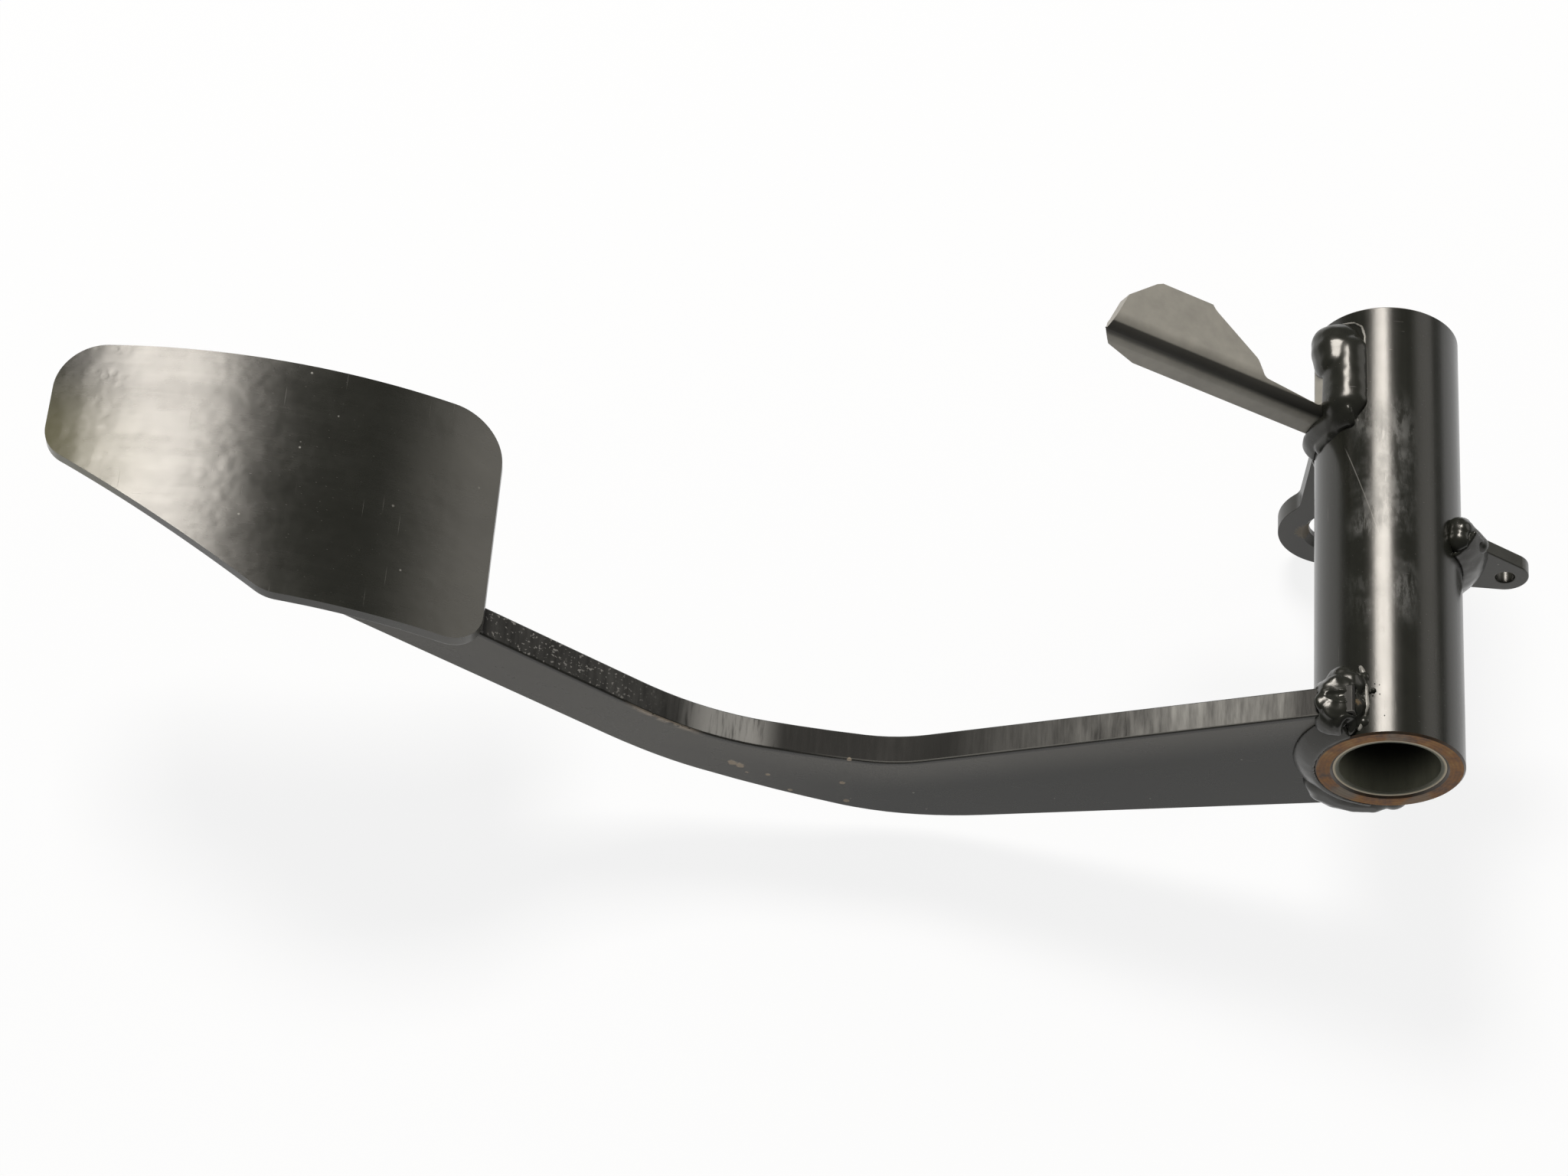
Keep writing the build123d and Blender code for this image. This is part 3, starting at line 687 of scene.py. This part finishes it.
def rounded_copy(name, node, material, edge, segments=3):
    """A copy of a plate of the frame, merged and cleaned, with its hard edges rounded off."""
    body = bmesh.new()
    body.from_mesh(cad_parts[node].data)
    bmesh.ops.remove_doubles(body, verts=body.verts, dist=MERGE)
    bmesh.ops.dissolve_limit(body, angle_limit=FLAT_ANGLE, verts=body.verts, edges=body.edges,
                             use_dissolve_boundaries=False, delimit=set())
    hard = [e for e in body.edges if len(e.link_faces) == 2 and e.calc_face_angle(0.0) > HARD_ANGLE]
    bmesh.ops.bevel(body, geom=hard, offset=edge, offset_type="OFFSET", segments=segments, profile=0.5,
                    affect="EDGES", clamp_overlap=True, material=-1, loop_slide=True)
    piece = finished(name, body, material, [node], 40.0)
    normals = piece.modifiers.new("even normals", "WEIGHTED_NORMAL")
    normals.keep_sharp = True


def on_tube(angle, radius, y):
    """A point at an angle about the pivot, measured from straight up towards +X."""
    return Vector((radius * math.sin(math.radians(angle)), y, radius * math.cos(math.radians(angle))))


def drop(body, centre, radius, stretch=(1.0, 1.0, 1.0)):
    """Adds one drop of weld metal."""
    place = Matrix.Translation(centre) @ Matrix.Diagonal((*stretch, 1.0))
    bmesh.ops.create_icosphere(body, subdivisions=3, radius=radius, matrix=place)


def droplet(body, centre, radius):
    """Adds one small drop, with few faces."""
    bmesh.ops.create_icosphere(body, subdivisions=2, radius=radius, matrix=Matrix.Translation(centre))


def row_of_drops(body, rows):
    """Drops laid closely along a path of (x, y, z, x radius, y radius, z radius) rows in mm."""
    for start, end in zip(rows, rows[1:]):
        count = max(1, round(math.dist(start[:3], end[:3]) * MM / DROP_GAP))
        for step in range(count + 1):
            x, y, z, *radii = (a + (b - a) * step / count for a, b in zip(start, end))
            drop(body, Vector((x, y, z)) * MM, MM, radii)


def rows_round_tube(lumps, y_from=0.0):
    """The rows for round drops at (angle, lift over the tube, place along it, radius) in mm."""
    return [(*(on_tube(angle, TUBE_RADIUS + lift * MM, y_from + y * MM) / MM), size, size, size)
            for angle, lift, y, size in lumps]


def lip_line(body, path, size):
    """Adds a thin uneven raised line on the tube through (angle, y in mm) points."""
    spots = [on_tube(angle, TUBE_RADIUS + PROUD, y * MM) for angle, y in path]
    for start, end in zip(spots, spots[1:]):
        count = max(1, round((end - start).length / LIP_GAP))
        for step in range(count):
            centre = start.lerp(end, step / count)
            uneven = 1.0 + 0.35 * noise.noise(centre / (2.2 * MM))
            droplet(body, centre, size * uneven)


def melted(body, voxel, smooth):
    """The drops run together into one skin."""
    rough = bpy.data.meshes.new("drops")
    body.to_mesh(rough)
    body.free()
    holder = bpy.data.objects.new("drops", rough)
    bpy.context.scene.collection.objects.link(holder)
    melt = holder.modifiers.new("melt", "REMESH")
    melt.mode = "VOXEL"
    melt.voxel_size = voxel
    even = holder.modifiers.new("even", "SMOOTH")
    even.factor = 0.5
    even.iterations = smooth
    ready = holder.evaluated_get(bpy.context.evaluated_depsgraph_get())
    skin = bmesh.new()
    skin.from_mesh(ready.to_mesh())
    ready.to_mesh_clear()
    bpy.data.objects.remove(holder)
    bpy.data.meshes.remove(rough)
    return skin


def swollen(skin, amount):
    """Moves the whole skin outwards."""
    skin.normal_update()
    for vert in skin.verts:
        vert.co += vert.normal * amount


def kneaded(skin, height, scale, shift):
    """Moves the skin in and out by smooth noise, in lumps of about the given size."""
    skin.normal_update()
    for vert in skin.verts:
        spot = vert.co / scale + Vector((shift, shift * 1.7, -shift))
        amount = noise.noise(spot) + 0.5 * noise.noise(spot * 2.3)
        vert.co += vert.normal * (amount * height)


def pressed(skin, way, level):
    """Softly flattens the crown that stands higher than a level along a direction."""
    for vert in skin.verts:
        over = (vert.co.dot(way) - level) / PRESS_SOFTNESS
        if over > 0.0:
            vert.co -= way * ((over - math.tanh(over)) * PRESS_SOFTNESS)


def dented(skin, centre, radius, depth, stretch):
    """Presses a shallow crater into the skin, with a slight rim round it."""
    rim_reach, rim_height = 1.4, 3.75
    for vert in skin.verts:
        away = vert.co - centre
        near = Vector((away.x / stretch[0], away.y / stretch[1], away.z / stretch[2])).length / radius
        if near < rim_reach:
            push = 1.0 - near * near if near < 1.0 else -rim_height * (near - 1.0) * (rim_reach - near)
            vert.co -= vert.normal * (depth * push)


def kept_out(skin, y_low=None, y_high=None):
    """Lets the skin reach only a little way into the tube's wall, and no further than the given ends."""
    inner_radius = TUBE_RADIUS - BEAD_COVER
    for vert in skin.verts:
        radial = math.hypot(vert.co.x, vert.co.z)
        if radial < inner_radius:
            grow = inner_radius / max(radial, 1e-6)
            vert.co.x *= grow
            vert.co.z *= grow
        if y_low is not None and vert.co.y < y_low:
            vert.co.y = y_low
        if y_high is not None and vert.co.y > y_high:
            vert.co.y = y_high


def bead(name, body, material, nodes, height, scale, ends=(None, None), smooth=4, shift=0.0, dents=(),
         grow=0.3 * MM, press=None):
    """Melts the frame's own beads and the added drops into one skin, and grows, presses, kneads and dents it.
    A press is the direction and the height over which the crown is flattened."""
    for node in nodes:
        body.from_mesh(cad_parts[node].data)
    bmesh.ops.remove_doubles(body, verts=body.verts, dist=MERGE)
    skin = melted(body, bpy.context.scene.pedal_weld.voxel, smooth)
    swollen(skin, grow)
    if press is not None:
        pressed(skin, *press)
    kneaded(skin, height, scale, shift)
    skin.normal_update()
    for centre, radius, depth, stretch in dents:
        dented(skin, Vector(centre) * MM, radius * MM, depth * MM, stretch)
    kept_out(skin, *ends)
    finished(name, skin, material, nodes)


# Operators, one for each piece or group of like pieces
class PEDAL_OT_tube(bpy.types.Operator):
    """Dress the pivot tube with worn black paint and rusty bare ends"""
    bl_idname = "pedal.tube"
    bl_label = "Pivot Tube"

    def execute(self, context):
        dressed("pivot_tube", tube_paint())
        return {"FINISHED"}


class PEDAL_OT_bushes(bpy.types.Operator):
    """Dress the two pressed bushes as bare steel"""
    bl_idname = "pedal.bushes"
    bl_label = "Bushes"

    def execute(self, context):
        steel = bush_steel()
        for node in ("near_bush", "far_bush"):
            dressed(node, steel)
        return {"FINISHED"}


class PEDAL_OT_arm(bpy.types.Operator):
    """Make the dog-leg arm with rounded edges"""
    bl_idname = "pedal.arm"
    bl_label = "Pedal Arm"

    def execute(self, context):
        rounded_copy("arm_plate", "pedal_arm", arm_paint(), context.scene.pedal_steel.edge)
        return {"FINISHED"}


class PEDAL_OT_pad(bpy.types.Operator):
    """Make the rolled foot pad with well rounded edges"""
    bl_idname = "pedal.pad"
    bl_label = "Foot Pad"

    def execute(self, context):
        rounded_copy("pad_plate", "foot_pad", pad_paint(), context.scene.pedal_steel.edge * 2.8, 4)
        return {"FINISHED"}


class PEDAL_OT_bracket(bpy.types.Operator):
    """Make the folded latch bracket with rounded edges and a lighter copy of the black paint for its painted
    light
    """
    bl_idname = "pedal.bracket"
    bl_label = "Latch Bracket"

    def execute(self, context):
        # Painted light: the bracket takes a lighter copy of the black paint
        paint = plate_paint("bracket_paint", context.scene.pedal_paint.thin, 0.46, fold=True)
        rounded_copy("bracket_plate", "latch_bracket", paint, context.scene.pedal_steel.edge * 0.7)
        return {"FINISHED"}


class PEDAL_OT_lever(bpy.types.Operator):
    """Make the rod lever with rounded edges"""
    bl_idname = "pedal.lever"
    bl_label = "Rod Lever"

    def execute(self, context):
        settings = context.scene.pedal_paint
        paint = plate_paint("lever_paint", settings.black, settings.gloss + 0.04, LEVER_CHIPS)
        rounded_copy("lever_plate", "rod_lever", paint, context.scene.pedal_steel.edge * 0.8)
        return {"FINISHED"}


class PEDAL_OT_tab(bpy.types.Operator):
    """Make the spring tab with rounded edges"""
    bl_idname = "pedal.tab"
    bl_label = "Spring Tab"

    def execute(self, context):
        # Painted light: the tab takes a lighter copy of the black paint
        paint = plate_paint("tab_paint", TAB_LIT_PAINT, context.scene.pedal_paint.gloss)
        rounded_copy("tab_plate", "spring_tab", paint, context.scene.pedal_steel.edge * 0.7)
        return {"FINISHED"}


class PEDAL_OT_arm_welds(bpy.types.Operator):
    """Lay the beads that join the arm to the tube"""
    bl_idname = "pedal.arm_welds"
    bl_label = "Arm Welds"

    def execute(self, context):
        lumps = context.scene.pedal_weld.lumps
        paint = weld_paint("arm_weld_paint", ARM_WELD_CHIPS)
        bead("arm_bead_near", bmesh.new(), paint, ["arm_weld_near"], lumps * 0.25, 8.0 * MM,
             ends=(NEAR_END, None), smooth=5)
        bead("arm_bead_far", bmesh.new(), paint, ["arm_weld_far"], lumps * 0.5, 5.0 * MM)

        # Two flat crowns that catch the light, a slanting ridge behind them, and a thin sheet out to the lip
        front = bmesh.new()
        for centre, radii in FRONT_CROWNS:
            drop(front, Vector(centre) * MM, MM, radii)
        for step in range(9):
            drop(front, Vector([start + move * step for start, move in FRONT_RIDGE]) * MM, 2.0 * MM)
        for angle in range(-46, -29, 4):
            for y in range(-71, -56, 2):
                drop(front, on_tube(angle, TUBE_RADIUS - 1.4 * MM, y * MM), 2.3 * MM)
        bead("arm_bead_front", front, paint, ["arm_weld_front"], lumps * 1.2, 6.0 * MM,
             ends=(FRONT_END, None), smooth=7, shift=4.0, dents=FRONT_DENTS,
             press=(Vector((0.0, 0.0, 1.0)), 21.8 * MM))

        under = bmesh.new()
        row_of_drops(under, rows_round_tube(BACK_LUMPS, ARM_FACE + ARM_THICKNESS / 2))
        bead("arm_bead_under", under, paint, ["arm_weld_back"], lumps * 0.3, 7.0 * MM,
             ends=(NEAR_END, None), smooth=8)
        return {"FINISHED"}


class PEDAL_OT_bracket_welds(bpy.types.Operator):
    """Lay the beads that join the latch bracket to the tube"""
    bl_idname = "pedal.bracket_welds"
    bl_label = "Bracket Welds"

    def execute(self, context):
        lumps = context.scene.pedal_weld.lumps
        paint = weld_paint("bracket_weld_paint")
        # The root bead runs on from the long one, and a low skirt eases it down to the tube
        front = bmesh.new()
        row_of_drops(front, LONG_BEAD)
        row_of_drops(front, rows_round_tube(SKIRT))
        bead("bracket_bead_front", front, paint, ["bracket_weld_long", "bracket_weld_root"],
             lumps * 0.5, 8.0 * MM, smooth=22, grow=0.6 * MM)
        bead("bracket_bead_back", bmesh.new(), paint, ["bracket_weld_back"], lumps * 0.3, 4.0 * MM)
        return {"FINISHED"}


class PEDAL_OT_lever_welds(bpy.types.Operator):
    """Lay the two beads along the rod lever's root"""
    bl_idname = "pedal.lever_welds"
    bl_label = "Lever Welds"

    def execute(self, context):
        lumps = context.scene.pedal_weld.lumps
        paint = weld_paint("lever_weld_paint")
        for name, node in (("lever_bead_near", "lever_weld_near"), ("lever_bead_far", "lever_weld_far")):
            bead(name, bmesh.new(), paint, [node], lumps * 0.5, 4.5 * MM,
                 press=(on_tube(-107, 1.0, 0.0), TUBE_RADIUS - 0.2 * MM))
        return {"FINISHED"}


class PEDAL_OT_tab_welds(bpy.types.Operator):
    """Lay the beads round the spring tab's root"""
    bl_idname = "pedal.tab_welds"
    bl_label = "Tab Welds"

    def execute(self, context):
        lumps = context.scene.pedal_weld.lumps
        paint = weld_paint("tab_weld_paint")
        bead("tab_bead_near", bmesh.new(), paint, ["tab_weld_near"], lumps * 0.4, 6.0 * MM, smooth=6)
        bead("tab_bead_far", bmesh.new(), paint, ["tab_weld_far"], lumps * 0.3, 3.0 * MM)
        top = bmesh.new()
        row_of_drops(top, TAB_TOP)
        bead("tab_bead_top", top, paint, ["tab_weld_front"], lumps * 0.4, 5.0 * MM,
             ends=(None, 4.2 * MM), smooth=20, press=(on_tube(42, 1.0, 0.0), TUBE_RADIUS + 4.6 * MM))
        return {"FINISHED"}


class PEDAL_OT_lips(bpy.types.Operator):
    """Lay the thin raised lines where the front and the long bead meet the tube"""
    bl_idname = "pedal.lips"
    bl_label = "Bead Lips"

    def execute(self, context):
        settings = context.scene.pedal_weld
        body = bmesh.new()
        lip_line(body, FRONT_LIP, settings.lip * 1.25)
        lip_line(body, LONG_LIP, settings.lip * 0.7)
        skin = melted(body, LIP_GRAIN, 2)
        kept_out(skin, NEAR_END)
        finished("bead_lips", skin, lip_paint(), [])
        return {"FINISHED"}


class PEDAL_OT_pad_welds(bpy.types.Operator):
    """Dress the stitches under the pad"""
    bl_idname = "pedal.pad_welds"
    bl_label = "Pad Welds"

    def execute(self, context):
        paint = weld_paint("pad_weld_paint")
        for node in ("pad_weld_near", "pad_weld_far"):
            dressed(node, paint)
        return {"FINISHED"}


class PEDAL_OT_spatter(bpy.types.Operator):
    """Scatter small drops of weld spatter on the tube beside the front bead"""
    bl_idname = "pedal.spatter"
    bl_label = "Spatter"

    def execute(self, context):
        spread = random.Random(context.scene.pedal_weld.seed)
        fine = [(spread.uniform(-34, -8), spread.uniform(-72, -52), spread.uniform(0.14, 0.26))
                for _ in range(12)]
        body = bmesh.new()
        for angle, y, size in (*SPATTER, *fine):
            droplet(body, on_tube(angle, TUBE_RADIUS + PROUD, y * MM), size * MM)
        finished("weld_spatter", body, weld_paint("spatter_paint"), [])
        return {"FINISHED"}


class PEDAL_OT_stage(bpy.types.Operator):
    """Set the pale floor, the soft lights, the sky and the camera"""
    bl_idname = "pedal.stage"
    bl_label = "Stage"

    def execute(self, context):
        scene = context.scene
        settings = scene.pedal_stage
        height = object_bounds()[0].z - FLOOR_GAP
        body = bmesh.new()
        bmesh.ops.create_grid(body, x_segments=1, y_segments=1, size=FLOOR_SIZE,
                              matrix=Matrix.Translation((0.0, 0.0, height)))
        mesh = bpy.data.meshes.new("floor")
        body.to_mesh(mesh)
        body.free()
        mesh.materials.append(floor_finish(settings))
        floor = bpy.data.objects.new("floor", mesh)
        scene.collection.objects.link(floor)
        floor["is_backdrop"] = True

        for name, power, size, away, colour in LAMPS:
            soft_light(name, getattr(settings, power), size, AIM + Vector(away), colour)
        scene.world = room(settings)
        scene.view_settings.view_transform = "Standard"

        lens = bpy.data.cameras.new("camera")
        lens.sensor_width = SENSOR_WIDTH
        lens.lens = FOCAL_LENGTH
        lens.clip_start = 0.05
        lens.clip_end = 50.0
        camera = bpy.data.objects.new("camera", lens)
        scene.collection.objects.link(camera)
        back = CAMERA_RIGHT.cross(CAMERA_UP).normalized()
        up = back.cross(CAMERA_RIGHT).normalized()
        turn = Matrix((CAMERA_RIGHT, up, back)).transposed().to_4x4()
        camera.matrix_world = Matrix.Translation(CAMERA_PLACE) @ turn
        scene.camera = camera
        return {"FINISHED"}


def soft_light(name, power, size, place, colour):
    """A rectangular lamp that faces the aim."""
    lamp = bpy.data.lights.new(name, "AREA")
    lamp.shape = "RECTANGLE"
    lamp.size, lamp.size_y = size
    lamp.energy = power
    lamp.color = colour
    light = bpy.data.objects.new(name, lamp)
    bpy.context.scene.collection.objects.link(light)
    turn = (AIM - place).to_track_quat("-Z", "Y").to_matrix().to_4x4()
    light.matrix_world = Matrix.Translation(place) @ turn


def room(settings):
    """A room that is dim above the horizon and pale below it."""
    finish = Finish(bpy.data.worlds.new("studio"))
    high = finish.part(finish.place(), 2) * 0.5 + 0.5
    sky = settings.sky
    level = finish.node("ShaderNodeValToRGB", {"stops": [
        (0.0, (0.5, 0.5, 0.5)), (0.485, (0.6, 0.6, 0.6)), (0.50, (0.62, 0.62, 0.62)),
        (0.545, (sky * 1.4,) * 3), (0.60, (sky,) * 3)]}, {0: high})
    glow = finish.node("ShaderNodeBackground", inputs={"Color": level, "Strength": 1.0})
    finish.node("ShaderNodeOutputWorld", inputs={"Surface": glow})
    return finish.owner


def floor_finish(settings):
    """A pale floor that looks white in the picture and in reflections, and keeps a faint shadow."""
    finish = new_finish("floor_finish")
    seen = None
    for kind in ("Is Camera Ray", "Is Glossy Ray", "Is Transmission Ray"):
        ray = finish.node("ShaderNodeLightPath", output=kind)
        seen = ray if seen is None else seen.most(ray)
    glow = finish.node("ShaderNodeEmission", inputs={"Color": (1.0, 1.0, 1.0), "Strength": FLOOR_GLOW})
    plain = finish.node("ShaderNodeBsdfDiffuse", inputs={"Color": tuple(settings.floor)})
    both = finish.node("ShaderNodeMixShader", inputs={0: seen * GLOW_SHARE, 1: plain, 2: glow})
    finish.node("ShaderNodeOutputMaterial", inputs={"Surface": both})
    return finish.owner


class PEDAL_PT_panel(bpy.types.Panel):
    """The pedal's pieces, in the order they are made, and their settings"""
    bl_label = "Brake Pedal"
    bl_idname = "PEDAL_PT_panel"
    bl_space_type = "VIEW_3D"
    bl_region_type = "UI"
    bl_category = "Pedal"

    def draw(self, context):
        for operator in OPERATORS:
            self.layout.operator(operator.bl_idname)
        for group in GROUPS:
            settings = getattr(context.scene, group)
            for name in settings.bl_rna.properties.keys():
                if name not in {"rna_type", "name"}:
                    self.layout.prop(settings, name)


OPERATORS = (
    PEDAL_OT_tube, PEDAL_OT_bushes, PEDAL_OT_arm, PEDAL_OT_pad, PEDAL_OT_bracket, PEDAL_OT_lever,
    PEDAL_OT_tab, PEDAL_OT_arm_welds, PEDAL_OT_bracket_welds, PEDAL_OT_lever_welds, PEDAL_OT_tab_welds,
    PEDAL_OT_lips, PEDAL_OT_pad_welds, PEDAL_OT_spatter, PEDAL_OT_stage)
GROUPS = {
    "pedal_paint": PaintSettings, "pedal_steel": SteelSettings, "pedal_weld": WeldSettings,
    "pedal_stage": StageSettings}


def register():
    for group in GROUPS.values():
        bpy.utils.register_class(group)
    for operator in OPERATORS:
        bpy.utils.register_class(operator)
    bpy.utils.register_class(PEDAL_PT_panel)
    for name, group in GROUPS.items():
        setattr(bpy.types.Scene, name, PointerProperty(type=group))


def unregister():
    for name in GROUPS:
        delattr(bpy.types.Scene, name)
    bpy.utils.unregister_class(PEDAL_PT_panel)
    for operator in reversed(OPERATORS):
        bpy.utils.unregister_class(operator)
    for group in reversed(list(GROUPS.values())):
        bpy.utils.unregister_class(group)


def main():
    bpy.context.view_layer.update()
    register()
    for operator in OPERATORS:
        group, action = operator.bl_idname.split(".")
        getattr(getattr(bpy.ops, group), action)()


if __name__ == "__main__":
    main()
